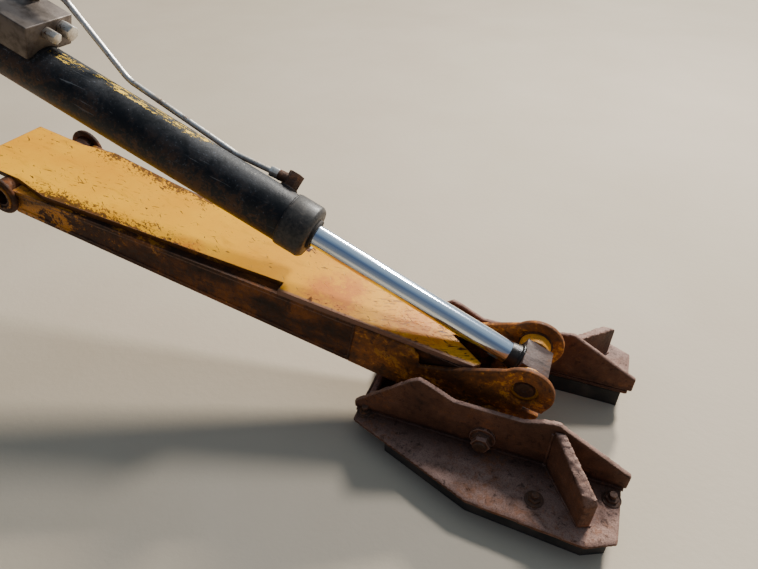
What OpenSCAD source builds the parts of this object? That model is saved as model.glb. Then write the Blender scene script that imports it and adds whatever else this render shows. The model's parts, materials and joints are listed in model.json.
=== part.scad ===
// Stabilizer leg of a backhoe loader: a tapered box arm, a hydraulic cylinder
// and a flip-over ground pad. The origin is the centre of the arm's root pivot,
// X points outwards from the machine, Y along the pivot pins, Z up.

/* [Arm] */
// Distance from the root pivot to the rod pin
arm_l = 1246; // [1000:1:1500]
// Fall of the arm below level, in degrees
arm_fall = 10.9; // [0:0.1:30]
// Half of the arm's width at the root
half_w_root = 132; // [110:1:170]
// Thickness of the side webs
web_t = 10; // [6:1:14]
// Thickness of the top and bottom plates
cover_t = 12; // [8:1:16]
// Width of the ledge strips that lie on the side webs
ledge_strip_w = 42; // [38:1:50]
// Width of the ledge strips that the top plate leaves bare at the root
ledge_w_root = 3; // [2:1:20]
// Width of the ledge strips that the top plate leaves bare at its step
ledge_w_step = 28; // [10:1:32]
// Distance from the root pivot to the step in the top plate's edges
ledge_l = 690; // [500:1:760]
// Distance by which the top plate runs on behind the root pivot
plate_back = 108; // [60:1:130]
// Half of the top plate's width over the root tube
back_half_w = 100; // [80:1:104]
// Height of the top plate above the root pivot
top_root = 34; // [33:1:50]
// Height of the bottom plate below the root pivot
bottom_root = 34; // [30:1:60]
// Depth of the arm below the pivot line at the fork
bottom_fork = 124; // [110:1:150]

/* [Fork] */
// Distance from the middle to the outer face of a fork plate
fork_half_w = 81; // [74:0.5:95]
// Thickness of the fork plates
fork_t = 12; // [8:1:16]
// Distance from the root pivot to the inner end of the fork plates
fork_start = 872; // [820:1:900]
// Radius of the fork plates round the rod pin
ear_r = 61; // [50:1:75]
// Radius of the fork plates round the pad pivot
heel_r = 46; // [40:1:55]
// Distance from the rod pin back to the pad pivot
pad_back = 40; // [20:1:60]
// Distance from the rod pin down to the pad pivot
pad_down = 104.5; // [100:0.5:120]
// Diameter of the openings in the fork plates round the rod pin's ends
ear_bore_d = 58; // [50:1:64]
// Depth of the rod pin's ends below the fork plates' outer faces
pin_recess = 10; // [0:1:11]
// Height of the fork webs' outer corner above the arm's bottom
fork_web_rise = 60; // [40:1:80]

/* [Pins] */
// Diameter of the bore in the root tube
root_bore_d = 45; // [35:1:50]
// Outside diameter of the root tube
root_tube_d = 60; // [56:1:62]
// Diameter of the collars round the root tube's ends
collar_d = 92; // [70:1:100]
// Thickness of the collars round the root tube's ends
collar_t = 10; // [6:1:14]
// Diameter of the rod pin
rod_pin_d = 44; // [36:1:50]
// Diameter of the pad shaft
pad_shaft_d = 32; // [24:1:40]
// Radial clearance of the turning fits
run_gap = 0.05; // [0.02:0.01:0.1]
// Gap between parts that lie beside each other
side_gap = 1; // [0.5:0.1:3]

/* [Cylinder] */
// Slope of the cylinder below level, in degrees
cyl_fall = 23.7; // [10:0.1:45]
// Outside diameter of the barrel
barrel_d = 112; // [100:1:125]
// Bore of the barrel
barrel_bore = 96; // [86:1:98]
// Length of the barrel tube
barrel_l = 914; // [850:1:1000]
// Distance from the rod pin to the outer face of the gland
gland_dist = 540; // [420:1:640]
// Length of the gland head
gland_l = 62; // [50:1:90]
// Outside diameter of the gland head
gland_d = 120; // [112:1:130]
// Diameter of the chromed rod
rod_d = 50; // [40:1:60]
// Width of the rod's end block
eye_w = 78; // [60:1:100]
// Half of the length of the rod's end block
eye_half_l = 31; // [29:1:45]
// Height of the rod's end block
eye_h = 62; // [58:1:80]
// Distance from the end of the barrel to the base pin
base_reach = 62; // [50:1:90]
// Bore of the cylinder's base eye
base_bore_d = 40; // [30:1:50]

/* [Oil lines] */
// Diameter of the steel lines
line_d = 13; // [8:0.5:16]
// Distance of the long line from the cylinder's middle plane
line_side = 52; // [48:1:56]
// Radius of the long line's bends
line_bend_r = 60; // [30:1:80]
// Distance from the gland head to the head port
port_in = 34; // [20:1:60]
// Height of the long line above the barrel at the elbow
elbow_h = 18; // [16:1:24]
// Length of an elbow's arm
elbow_arm = 34; // [24:1:40]
// Distance from the head port to where the long line rests on the barrel
line_dip_l = 139; // [100:1:200]
// Distance from the head port to where the long line bends away
line_rest_l = 414; // [300:1:440]
// Distance from the valve block's lower end to the barrel's end
valve_out = 304; // [290:1:340]
// Length of the valve block
valve_l = 180; // [140:1:200]
// Width of the valve block
valve_w = 122; // [110:1:130]
// Height of the valve block's top above the barrel
valve_h = 56; // [50:1:70]
// Depth of the valve's fittings below the block's top
fitting_drop = 22; // [18:1:30]
// Length of the valve's fittings
fitting_l = 28; // [16:1:34]

/* [Pad] */
// Length of the pad
pad_l = 580; // [500:1:640]
// Distance from the middle to the inner face of a pad flange
pad_half_gap = 128; // [115:1:140]
// Thickness of the pad's plates
pad_t = 12; // [8:1:16]
// Reach of the base plate outside each flange
pad_wing = 148; // [110:1:160]
// Depth from the pad pivot to the top of the base plate
pad_drop = 31; // [29:1:50]
// Length of the base plate inside its slot
slot_in = 70; // [60:1:90]
// Height of the flanges' inner peak above the pad shaft
peak_in_h = 112; // [90:1:120]
// Distance from the pad's inner end to the inner peak
peak_in_l = 144; // [130:1:160]
// Height of the flanges' outer peak above the pad shaft
peak_out_h = 96; // [86:1:120]
// Distance from the pad's outer end to the outer peak
peak_out_l = 152; // [130:1:170]
// Height of the flanges above the pad shaft between their peaks
saddle_h = 77; // [60:1:84]
// Length of the slope from the inner peak down to the saddle
slope_in_l = 76; // [50:1:90]
// Length of the slope from the outer peak down to the saddle
slope_out_l = 65; // [50:1:80]
// Diameter of the pad shaft's washers
washer_d = 54; // [46:1:60]
// Thickness of the pad shaft's washers
washer_t = 6; // [4:1:8]
// Diameter of the pad shaft's nuts across their corners
shaft_nut_d = 40; // [36:1:50]
// Height of the pad shaft's nuts
shaft_nut_l = 20; // [14:1:26]
// Distance from the pad's outer end to the ribs
rib_out_l = 159; // [140:1:180]
// Width of the ribs along the pad
rib_w = 23; // [14:1:30]
// Length by which the ribs lean outwards
rib_lean = 77; // [40:1:90]
// Height of the ribs above the pad shaft at the flanges
rib_h = 82; // [60:1:86]
// Height of the ribs above the pad shaft at their corner
rib_corner_h = 50; // [40:1:60]
// Thickness of the rubber blocks
rubber_t = 44; // [20:1:60]

/* [Hidden] */

$fn = 64;
far = 400;
touch = 0.3;

// Places in the arm's own frame: x along the pivot line, z square to it
pad_x = arm_l - pad_back;
pad_z = -pad_down;
half_slope = 0.0608;
top_slope = 0.0323;
fork_in = fork_half_w - fork_t;
tip_x = arm_l - 104;
notch_x = arm_l - 176;
function half_w(x) = half_w_root - half_slope * x;
function top_z(x) = top_root - top_slope * x;
function top_edge(x) = half_w(x) - ledge_w_root - (ledge_w_step - ledge_w_root) * x / ledge_l;
// The points of an outline's other half, in the order that closes it
function mirrored(points) = [for (i = [len(points) - 1 : -1 : 0]) [points[i][0], -points[i][1]]];

// Places in the machine's frame
rod_pin_x = arm_l * cos(arm_fall);
rod_pin_z = -arm_l * sin(arm_fall);
pad_px = pad_x * cos(arm_fall) + pad_z * sin(arm_fall);
pad_pz = -pad_x * sin(arm_fall) + pad_z * cos(arm_fall);
barrel_r = barrel_d / 2;
tube_end = gland_dist + gland_l + barrel_l;
base_dist = tube_end + base_reach;

module in_arm() { rotate([0, arm_fall, 0]) children(); }
// The cylinder's frame: x runs from the rod pin up the rod's axis
module in_cyl()
{
    translate([rod_pin_x, 0, rod_pin_z]) rotate([0, 180 + cyl_fall, 0]) mirror([0, 0, 1]) children();
}
module in_pad() { translate([pad_px, 0, pad_pz]) children(); }
module across(r, from_y, to_y) { translate([0, from_y, 0]) rotate([-90, 0, 0]) cylinder(h = to_y - from_y, r = r); }
module along(r, from_x, to_x) { translate([from_x, 0, 0]) rotate([0, 90, 0]) cylinder(h = to_x - from_x, r = r); }
// A side view outline, given as x and z, made into a plate from y = from_y to to_y
module side_plate(from_y, to_y)
{
    translate([0, to_y, 0]) rotate([90, 0, 0]) linear_extrude(to_y - from_y) children();
}
module end_plate(from_x, to_x)
{
    translate([from_x, 0, 0]) rotate([90, 0, 90]) linear_extrude(to_x - from_x) children();
}
module plan_plate(from_z, to_z) { translate([0, 0, from_z]) linear_extrude(to_z - from_z) children(); }

// The arm's box
function bottom_z(x) = -bottom_root - (bottom_fork - bottom_root) * x / fork_start;
module box_side_view(inset_top, inset_bottom, x0, x1)
{
    polygon([[x0, bottom_z(x0) + inset_bottom], [x1, bottom_z(x1) + inset_bottom],
             [x1, top_z(x1) - inset_top], [x0, top_z(x0) - inset_top]]);
}
// A band as thick as t whose upper edge follows the top plate, z lower at the root
module band(z, t, x0, x1)
{
    polygon([[x0, z - t - top_slope * x0], [x1, z - t - top_slope * x1],
             [x1, z - top_slope * x1], [x0, z - top_slope * x0]]);
}
module taper_strip(from_edge, width, x0, x1)
{
    polygon([[x0, half_w(x0) - from_edge], [x1, half_w(x1) - from_edge],
             [x1, half_w(x1) - from_edge - width], [x0, half_w(x0) - from_edge - width]]);
}
web_x0 = root_tube_d / 2 + touch;
web_x1 = fork_start - touch;
module arm_side() intersection()
{
    plan_plate(-far, far) taper_strip(0, web_t, web_x0, web_x1);
    side_plate(-far, far) box_side_view(cover_t + web_t, cover_t, web_x0, web_x1);
}
module arm_ledge() intersection()
{
    plan_plate(-far, far) taper_strip(0, ledge_strip_w, web_x0, web_x1);
    side_plate(-far, far) band(top_root - cover_t, web_t, web_x0, web_x1);
}
module arm_root_tube() color("goldenrod") in_arm() difference()
{
    across(root_tube_d / 2, -half_w_root - collar_t, half_w_root + collar_t);
    across(root_bore_d / 2, -far, far);
}
module arm_collar() difference()
{
    across(collar_d / 2, half_w_root, half_w_root + collar_t);
    across(root_tube_d / 2 + touch / 2, -far, far);
}
module arm_collar_rear() color("sienna") in_arm() mirror([0, 1, 0]) arm_collar();
module arm_collar_front() color("sienna") in_arm() arm_collar();
module arm_side_rear() color("saddlebrown") in_arm() mirror([0, 1, 0]) arm_side();
module arm_side_front() color("gold") in_arm() arm_side();
module arm_ledge_rear() color("saddlebrown") in_arm() mirror([0, 1, 0]) arm_ledge();
module arm_ledge_front() color("gold") in_arm() arm_ledge();
// The top plate is narrow where it lies over the root tube, and widens to the box from there
neck_x = 24;
flare_x = 107;
top_half = [[-plate_back, back_half_w], [neck_x, back_half_w], [flare_x, top_edge(flare_x)],
            [ledge_l, top_edge(ledge_l)], [ledge_l, half_w(ledge_l)],
            [tip_x - 8, half_w(tip_x)], [tip_x, half_w(tip_x) - 8], [tip_x + 6, half_w(tip_x) - 17]];
module arm_top_plate() color("gold") in_arm() difference()
{
    intersection()
    {
        plan_plate(-far, far) polygon(concat(top_half, [[notch_x, 0]], mirrored(top_half)));
        side_plate(-far, far) band(top_root, cover_t, -plate_back - 20, tip_x + 20);
    }
    across(root_tube_d / 2 + touch / 2, -far, far);
}
module arm_bottom_plate() color("saddlebrown") in_arm() intersection()
{
    plan_plate(-far, far) polygon([[web_x0, -half_w(web_x0)], [web_x1, -half_w(web_x1)],
        [web_x1, half_w(web_x1)], [web_x0, half_w(web_x0)]]);
    side_plate(-far, far) polygon([[web_x0, bottom_z(web_x0)], [web_x1, bottom_z(web_x1)],
        [web_x1, bottom_z(web_x1) + cover_t], [web_x0, bottom_z(web_x0) + cover_t]]);
}

// The fork at the arm's outer end
function fork_top(x) = top_z(x) - cover_t - touch / 2;
module fork_outline()
{
    difference()
    {
        union()
        {
            polygon([[fork_start, -bottom_fork], [pad_x - heel_r, -bottom_fork - 10], [pad_x, pad_z - heel_r],
                     [pad_x + 20, pad_z - heel_r + 5], [arm_l + ear_r - 14, -60], [arm_l + ear_r, 0],
                     [arm_l, ear_r], [arm_l - 30, ear_r - 14], [arm_l - 157, -24], [arm_l - 218, -50],
                     [arm_l - 224, -26],
                     [arm_l - 240, fork_top(arm_l - 240)], [fork_start, fork_top(fork_start)]]);
            translate([arm_l, 0]) circle(r = ear_r);
            translate([pad_x, pad_z]) circle(r = heel_r);
        }
        translate([arm_l, 0]) circle(r = ear_bore_d / 2);
        translate([pad_x, pad_z]) circle(r = heel_tube_r + touch / 2);
        translate([arm_l + 12, -50]) square([far, 11]);
    }
}
heel_tube_r = 30;
module fork_plate() side_plate(fork_in, fork_half_w) fork_outline();
module fork_plate_rear() color("goldenrod") in_arm() mirror([0, 1, 0]) fork_plate();
module fork_plate_front() color("gold") in_arm() fork_plate();
web_foot = 16;
web_tip_in = 30;
fork_web_x1 = tip_x - web_tip_in;
module fork_web()
{
    side_plate(fork_in - web_t, fork_in - touch / 2) polygon([[fork_start, -bottom_fork + cover_t + web_foot],
        [fork_web_x1, -bottom_fork + fork_web_rise], [fork_web_x1, top_z(fork_web_x1) - cover_t - touch / 2],
        [fork_start, top_z(fork_start) - cover_t - touch / 2]]);
}
module fork_web_rear() color("olive") in_arm() mirror([0, 1, 0]) fork_web();
module fork_web_front() color("olive") in_arm() fork_web();
// The bosses lap the fork plates' openings and carry the pin
boss_r = ear_bore_d / 2 + 5;
module fork_boss()
{
    difference()
    {
        across(boss_r, eye_w / 2 + side_gap, fork_in - touch / 2);
        across(rod_pin_d / 2 + run_gap, -far, far);
    }
}
module fork_boss_rear() color("gold") in_arm() translate([arm_l, 0, 0]) mirror([0, 1, 0]) fork_boss();
module fork_boss_front() color("gold") in_arm() translate([arm_l, 0, 0]) fork_boss();
module fork_cross_plate() color("saddlebrown") in_arm()
{
    side_plate(-fork_in + touch / 2, fork_in - touch / 2) polygon([[fork_start + touch, -bottom_fork],
        [pad_x - heel_tube_r - 25, -bottom_fork], [pad_x - heel_tube_r - 25, -bottom_fork + cover_t],
        [fork_start + touch, -bottom_fork + cover_t]]);
}
module rod_pin() color("dimgray") in_arm() translate([arm_l, 0, 0])
{
    across(rod_pin_d / 2, -fork_half_w + pin_recess, fork_half_w - pin_recess);
}
module pad_pivot_tube() color("saddlebrown") in_arm() translate([pad_x, 0, pad_z]) difference()
{
    across(heel_tube_r, -pad_half_gap + side_gap, pad_half_gap - side_gap);
    across(pad_shaft_d / 2 + run_gap, -far, far);
}

// The rod
neck_l = 26;
module piston_rod() color("silver") in_cyl() along(rod_d / 2, eye_half_l + neck_l, gland_dist + gland_l + piston_in);
piston_in = 150;
module rod_neck() color("dimgray") in_cyl()
{
    translate([eye_half_l, 0, 0]) rotate([0, 90, 0]) cylinder(h = neck_l, r1 = rod_d / 2 + 5, r2 = rod_d / 2);
}
module rod_eye() color("dimgray") in_cyl() difference()
{
    translate([-eye_half_l, -eye_w / 2, -eye_h / 2]) cube([2 * eye_half_l, eye_w, eye_h]);
    across(rod_pin_d / 2 + run_gap, -far, far);
}

// The barrel
module barrel_tube() color("dimgray") in_cyl() difference()
{
    along(barrel_r, gland_dist + gland_l, tube_end);
    along(barrel_bore / 2, gland_dist, tube_end + 1);
}
module gland_head() color("dimgray") in_cyl() difference()
{
    union()
    {
        along(gland_d / 2, gland_dist + 8, gland_dist + gland_l);
        translate([gland_dist, 0, 0]) rotate([0, 90, 0]) cylinder(h = 8, r1 = gland_d / 2 - 6, r2 = gland_d / 2);
    }
    along(rod_d / 2 + touch, 0, tube_end);
}
cap_l = 24;
module base_cap() color("dimgray") in_cyl() along(barrel_r, tube_end, tube_end + cap_l);
module base_eye() color("dimgray") in_cyl() translate([base_dist, 0, 0]) difference()
{
    union()
    {
        across(base_eye_r, -base_eye_w / 2, base_eye_w / 2);
        translate([-base_reach + cap_l, -base_eye_w / 2, -30]) cube([base_reach - cap_l, base_eye_w, 60]);
    }
    across(base_bore_d / 2, -far, far);
}
base_eye_r = 38;
base_eye_w = 74;

// The oil lines. The long one rests on the barrel's far shoulder between two shallow bends,
// then climbs over the valve block. Their corners are x and z in the cylinder's frame.
line_r = line_d / 2;
port_x = gland_dist + gland_l + port_in;
port_z = sqrt(pow(barrel_r + elbow_h, 2) - pow(line_side, 2));
port_turn = atan2(line_side, port_z);
rest_z = sqrt(pow(barrel_r + line_r + touch, 2) - pow(line_side, 2));
valve_x = tube_end - valve_out;
valve_top = barrel_r + valve_h;
valve_mid = 11;
valve_elbow_x = valve_x + 78;
nut_l = 20;
nut_r = 12.5;
arm_r = 12;
port_h = 3;
line_top = valve_top + 38;
line_corners = [[port_x, port_z], [port_x + line_dip_l, rest_z], [port_x + line_rest_l, rest_z + 21],
                [valve_elbow_x - elbow_arm - 2 * nut_l, line_top], [valve_elbow_x, line_top]];
base_port_x = tube_end - 40;
base_line_z = barrel_r + 36;
base_bend_r = 20;
lap = 0.5;
lip = 0.03;

function heading(a, b) = atan2(b[1] - a[1], b[0] - a[0]);
function turn_at(corners, i) = heading(corners[i], corners[i + 1]) - heading(corners[i - 1], corners[i]);
function cut_at(corners, i, bend_r) =
    i == 0 || i == len(corners) - 1 ? 0 : bend_r * tan(abs(turn_at(corners, i)) / 2);
module pointed(from, to) { translate([from[0], 0, from[1]]) rotate([0, -heading(from, to), 0]) children(); }
module bend(r, bend_r, turn)
{
    rotate([turn < 0 ? 180 : 0, 0, 0]) translate([0, 0, bend_r]) rotate([90, 0, 0]) rotate([0, 0, -90])
        rotate_extrude(angle = abs(turn)) translate([bend_r, 0]) circle(r = r);
}
// Straight length i of a tube, and all that follows it. The straights lap into the bends,
// which are a lip thicker, so that their faces cross cleanly.
module tube_run(corners, r, bend_r, trim_in, trim_out, i)
{
    is_last = i == len(corners) - 2;
    length = norm(corners[i + 1] - corners[i]) - cut_at(corners, i, bend_r) - cut_at(corners, i + 1, bend_r);
    along(r, i == 0 ? trim_in : -lap, is_last ? length - trim_out : length + lap);
    if (!is_last)
    {
        turn = turn_at(corners, i + 1);
        translate([length, 0, 0]) bend(r + lip, bend_r, turn);
        translate([length + bend_r * sin(abs(turn)), 0, sign(turn) * bend_r * (1 - cos(turn))])
            rotate([0, -turn, 0]) tube_run(corners, r, bend_r, trim_in, trim_out, i + 1);
    }
}
// A tube through the corners, shortened by trim_in and trim_out at its ends
module bent_tube(corners, r, bend_r, trim_in, trim_out)
{
    pointed(corners[0], corners[1]) tube_run(corners, r, bend_r, trim_in, trim_out, 0);
}
module hex_along(r, from_x, to_x)
{
    translate([from_x, 0, 0]) rotate([0, 90, 0]) cylinder(h = to_x - from_x, r = r, $fn = 6);
}
module in_line() { in_cyl() translate([0, line_side, 0]) children(); }
module on_line() { in_line() pointed(line_corners[0], line_corners[1]) children(); }
module head_port() color("dimgray") in_cyl() rotate([-port_turn, 0, 0]) translate([port_x, 0, 0]) difference()
{
    cylinder(h = barrel_r + port_h, r = 20);
    along(barrel_r + touch / 2, -far, far);
}
module elbow() color("sienna")
{
    in_cyl() rotate([-port_turn, 0, 0]) translate([port_x, 0, barrel_r + port_h])
        cylinder(h = 2 * elbow_h - port_h, r = 18, $fn = 6);
    on_line() along(arm_r, 0, elbow_arm);
}
module nut() difference()
{
    hex_along(nut_r, 0, nut_l);
    along(line_r + touch / 2, -far, far);
}
module line_nut() color("dimgray") on_line() translate([elbow_arm, 0, 0]) nut();
module steel_line() color("gray") in_line()
{
    bent_tube(line_corners, line_r, line_bend_r, elbow_arm + touch / 2, elbow_arm + touch / 2);
}
module line_end_nut() color("dimgray") in_line()
{
    translate([valve_elbow_x - elbow_arm - nut_l, 0, line_top]) nut();
}
module valve_elbow() color("gray") in_line() translate([valve_elbow_x, 0, line_top])
{
    translate([0, 0, valve_top - line_top]) cylinder(h = line_top - valve_top + 15, r = 16, $fn = 6);
    along(arm_r, -elbow_arm, 0);
}
// The lock valve's block sits on the barrel in a cradle of its own
module valve_block() color("silver") in_cyl() difference()
{
    translate([valve_x, valve_mid - valve_w / 2, barrel_r - 12]) cube([valve_l, valve_w, valve_h + 12]);
    along(barrel_r + touch / 2, -far, far * 5);
}
module valve_fittings() color("gray") in_cyl()
{
    for (place = [[valve_mid - 10, 13], [valve_mid + 32, 17]])
        translate([valve_x, place[0], valve_top - fitting_drop]) hex_along(place[1], -fitting_l, 0);
    translate([valve_x + valve_l, 0, base_line_z]) hex_along(14, 0, fitting_l);
}
module base_port() color("dimgray") in_cyl() translate([base_port_x, 0, 0]) difference()
{
    cylinder(h = barrel_r + 14, r = 17);
    along(barrel_r + touch / 2, -far, far);
}
module base_line() color("gray") in_cyl()
{
    bent_tube([[valve_x + valve_l + fitting_l, base_line_z], [base_port_x, base_line_z], [base_port_x, barrel_r + 14]],
              line_r, base_bend_r, touch / 2, touch / 2);
}

// The flip-over pad
pad_half_l = pad_l / 2;
base_top = -pad_drop;
base_bottom = base_top - pad_t;
pad_out = pad_half_gap + pad_t;
peak_in = peak_in_l - pad_half_l;
peak_out = pad_half_l - peak_out_l;
module flange_outline()
{
    difference()
    {
        polygon([[-pad_half_l, base_top + touch / 2], [pad_half_l, base_top + touch / 2], [pad_half_l, 8],
                 [peak_out + 16, peak_out_h - 10], [peak_out, peak_out_h], [peak_out - 26, peak_out_h - 4],
                 [peak_out - slope_out_l, saddle_h], [peak_in + slope_in_l, saddle_h], [peak_in + 18, peak_in_h - 6],
                 [peak_in, peak_in_h], [peak_in - 16, peak_in_h - 10], [29 - pad_half_l, 14], [-pad_half_l, -12]]);
        circle(r = pad_shaft_d / 2 + run_gap);
    }
}
module pad_flange() side_plate(pad_half_gap, pad_out) flange_outline();
module pad_flange_rear() color("saddlebrown") in_pad() mirror([0, 1, 0]) pad_flange();
module pad_flange_front() color("saddlebrown") in_pad() pad_flange();
wing_y = pad_out + pad_wing;
slot_x = slot_in - pad_half_l;
plate_half_l = pad_half_l - 8;
wing_mid_y = wing_y - 12;
wing_peak_x = pad_half_l - 64;
wing_taper = (wing_mid_y - pad_out - 30) / plate_half_l;
// The outer edge of a wing: it widens to a peak, then turns in to the outer end
function wing_edge(from_x, to_x, inset) =
    [[from_x, wing_mid_y + wing_taper * from_x - inset], [0, wing_mid_y - inset], [wing_peak_x, wing_y - inset],
     [to_x, wing_y - inset - 0.5 * (to_x - wing_peak_x)]];
base_half = wing_edge(-plate_half_l, plate_half_l, 0);
module base_plan() difference()
{
    polygon(concat(base_half, mirrored(base_half)));
    translate([slot_x, -pad_half_gap]) square([far * 2, 2 * pad_half_gap]);
}
module pad_base_plate() color("saddlebrown") in_pad() plan_plate(base_bottom, base_top) base_plan();
module pad_cross_web() color("saddlebrown") in_pad()
{
    translate([-pad_half_l + 24, -pad_half_gap + touch / 2, base_top]) cube([pad_t, 2 * pad_half_gap - touch, 26]);
}
rib_x = pad_half_l - rib_out_l;
module pad_rib() intersection()
{
    plan_plate(base_top + touch / 2, far) polygon([[rib_x, pad_out + touch / 2],
        [rib_x + rib_w, pad_out + touch / 2], [rib_x + rib_w + rib_lean, wing_y - 42], [rib_x + rib_lean, wing_y - 30]]);
    end_plate(0, far) polygon([[pad_out, base_top], [wing_y, base_top], [wing_y - 28, rib_corner_h - 22],
        [wing_y - 46, rib_corner_h], [pad_out, rib_h]]);
}
module pad_rib_rear() color("saddlebrown") in_pad() mirror([0, 1, 0]) pad_rib();
module pad_rib_front() color("saddlebrown") in_pad() pad_rib();
module pad_shaft() color("dimgray") in_pad()
{
    across(pad_shaft_d / 2, -pad_out - washer_t, pad_out + washer_t);
    for (turn = [-90, 90]) rotate([turn, 0, 0]) translate([0, 0, pad_out + touch / 2])
    {
        cylinder(h = washer_t, r = washer_d / 2);
        cylinder(h = washer_t + shaft_nut_l, r = shaft_nut_d / 2, $fn = 6);
    }
}
rubber_inset = 14;
rubber_x0 = slot_x + 20;
rubber_x1 = plate_half_l - rubber_inset;
module rubber() plan_plate(base_bottom - rubber_t, base_bottom)
{
    polygon(concat([[rubber_x0, pad_half_gap + 2]], wing_edge(rubber_x0, rubber_x1, rubber_inset),
                   [[rubber_x1, pad_half_gap + 2]]));
}
module rubber_rear() color("black") in_pad() mirror([0, 1, 0]) rubber();
module rubber_front() color("black") in_pad() rubber();
module rubber_inner() color("black") in_pad()
{
    translate([-pad_half_l + 6, -pad_half_gap, base_bottom - rubber_t])
        cube([slot_in - 12, 2 * pad_half_gap, rubber_t]);
}

arm_root_tube();
arm_collar_rear();
arm_collar_front();
arm_side_rear();
arm_side_front();
arm_ledge_rear();
arm_ledge_front();
arm_top_plate();
arm_bottom_plate();
fork_plate_rear();
fork_plate_front();
fork_web_rear();
fork_web_front();
fork_boss_rear();
fork_boss_front();
fork_cross_plate();
rod_pin();
pad_pivot_tube();
piston_rod();
rod_neck();
rod_eye();
barrel_tube();
gland_head();
base_cap();
base_eye();
head_port();
base_port();
elbow();
line_nut();
steel_line();
line_end_nut();
valve_block();
valve_fittings();
valve_elbow();
base_line();
pad_base_plate();
pad_flange_rear();
pad_flange_front();
pad_cross_web();
pad_rib_rear();
pad_rib_front();
pad_shaft();
rubber_rear();
rubber_front();
rubber_inner();
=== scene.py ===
import json
import math

import bmesh
import bpy
from mathutils import Matrix, Vector


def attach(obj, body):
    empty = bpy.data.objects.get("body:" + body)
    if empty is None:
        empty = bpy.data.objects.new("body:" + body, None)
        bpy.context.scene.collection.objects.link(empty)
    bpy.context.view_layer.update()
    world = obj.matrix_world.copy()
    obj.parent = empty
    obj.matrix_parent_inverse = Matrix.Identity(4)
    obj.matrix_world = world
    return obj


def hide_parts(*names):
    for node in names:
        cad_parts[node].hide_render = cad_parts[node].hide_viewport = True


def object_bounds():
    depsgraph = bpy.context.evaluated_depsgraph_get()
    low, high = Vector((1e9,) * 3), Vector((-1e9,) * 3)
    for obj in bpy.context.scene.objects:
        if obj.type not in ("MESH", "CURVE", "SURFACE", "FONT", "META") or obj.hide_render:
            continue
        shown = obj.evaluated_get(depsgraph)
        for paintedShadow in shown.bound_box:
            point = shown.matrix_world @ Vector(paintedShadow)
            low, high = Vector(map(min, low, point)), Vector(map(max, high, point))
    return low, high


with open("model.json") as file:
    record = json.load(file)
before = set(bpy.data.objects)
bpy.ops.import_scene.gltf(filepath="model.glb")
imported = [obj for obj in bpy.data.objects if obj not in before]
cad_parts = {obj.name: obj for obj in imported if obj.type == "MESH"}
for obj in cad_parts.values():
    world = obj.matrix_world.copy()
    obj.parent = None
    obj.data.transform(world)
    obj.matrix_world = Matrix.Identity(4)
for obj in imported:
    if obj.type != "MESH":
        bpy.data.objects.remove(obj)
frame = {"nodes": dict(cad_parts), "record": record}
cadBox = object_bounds()
nodes = frame["nodes"]
joints = {j["name"]: j for j in frame["record"]["behaviour"]["joints"]}
rodPin = Vector(joints["rod_swing"]["pos_m"])
padPivot = Vector(joints["pad_flip"]["pos_m"])
rodLine = Vector(joints["barrel_slide"]["axis"])  # from the rod pin up the rod
rodUp = Vector((rodLine.z, 0, -rodLine.x))  # square to the rod, upwards
armFall = math.atan2(-rodPin.z, rodPin.x)
armTurn = Matrix.Rotation(armFall, 4, "Y")
rodSlant = (0, math.atan2(rodLine.z, rodLine.x), 0)
floorHeight = cadBox[0][2]


def onArm(x, y, z):  # x along the line of the two pins
    return armTurn @ Vector((x, y, z))


def onPad(x, y, z):
    return padPivot + Vector((x, y, z))


# Camera at the photograph's own place

view = {"place": (1.2316, -0.9107, 0.6526), "look": (-0.2838, 0.7339, -0.6171), "lens": 27.275,
        "sensor": 36, "near": 0.01}
cameraData = bpy.data.cameras.new("camera")
cameraData.lens = view["lens"]
cameraData.sensor_width = view["sensor"]
cameraData.clip_start = view["near"]
camera = bpy.data.objects.new("camera", cameraData)
camera.location = view["place"]
camera.rotation_euler = Vector(view["look"]).to_track_quat("-Z", "Y").to_euler()
bpy.context.scene.collection.objects.link(camera)
bpy.context.scene.camera = camera
print("camera placed")


# Nodes for the materials

def add(tree, kind, inputs=None, **settings):
    made = tree.nodes.new("ShaderNode" + kind)
    for key, value in settings.items():
        setattr(made, key, value)
    for key, value in (inputs or {}).items():
        if isinstance(value, bpy.types.NodeSocket):
            tree.links.new(value, made.inputs[key])
        else:
            made.inputs[key].default_value = value
    return made


def noise(tree, coords, scale, detail, rough, twist=0):
    made = add(tree, "TexNoise", {"Vector": coords, "Scale": scale, "Detail": detail, "Roughness": rough,
                                  "Distortion": twist})
    return made.outputs["Fac"]


def fit(tree, value, low, high, toLow=0, toHigh=1):
    made = add(tree, "MapRange", {"Value": value, "From Min": low, "From Max": high, "To Min": toLow,
                                  "To Max": toHigh})
    return made.outputs["Result"]


def calc(tree, operation, a, b=0.0):
    return add(tree, "Math", {0: a, 1: b}, operation=operation).outputs[0]


def times(tree, *values):
    result = values[0]
    for value in values[1:]:
        result = calc(tree, "MULTIPLY", result, value)
    return result


def plus(tree, *values):
    result = values[0]
    for value in values[1:]:
        result = calc(tree, "ADD", result, value)
    return result


def blend(tree, amount, a, b):
    made = add(tree, "Mix", data_type="RGBA")
    for key, value in ((0, amount), (6, a), (7, b)):
        if isinstance(value, bpy.types.NodeSocket):
            tree.links.new(value, made.inputs[key])
        elif key == 0:
            made.inputs[key].default_value = value
        else:
            made.inputs[key].default_value = (*value, 1)
    return made.outputs[2]


def shades(tree, value, stops):
    made = add(tree, "ValToRGB", {"Fac": value})
    ramp = made.color_ramp
    while len(ramp.elements) < len(stops):
        ramp.elements.new(0.5)
    for element, (place, colour) in zip(ramp.elements, stops):
        element.position = place
        element.color = (*colour, 1)
    return made.outputs["Color"]


def turned(tree, coords, angles, scale):
    first = add(tree, "Mapping", {"Vector": coords, "Rotation": angles}).outputs["Vector"]
    return add(tree, "Mapping", {"Vector": first, "Scale": scale}).outputs["Vector"]


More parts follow.
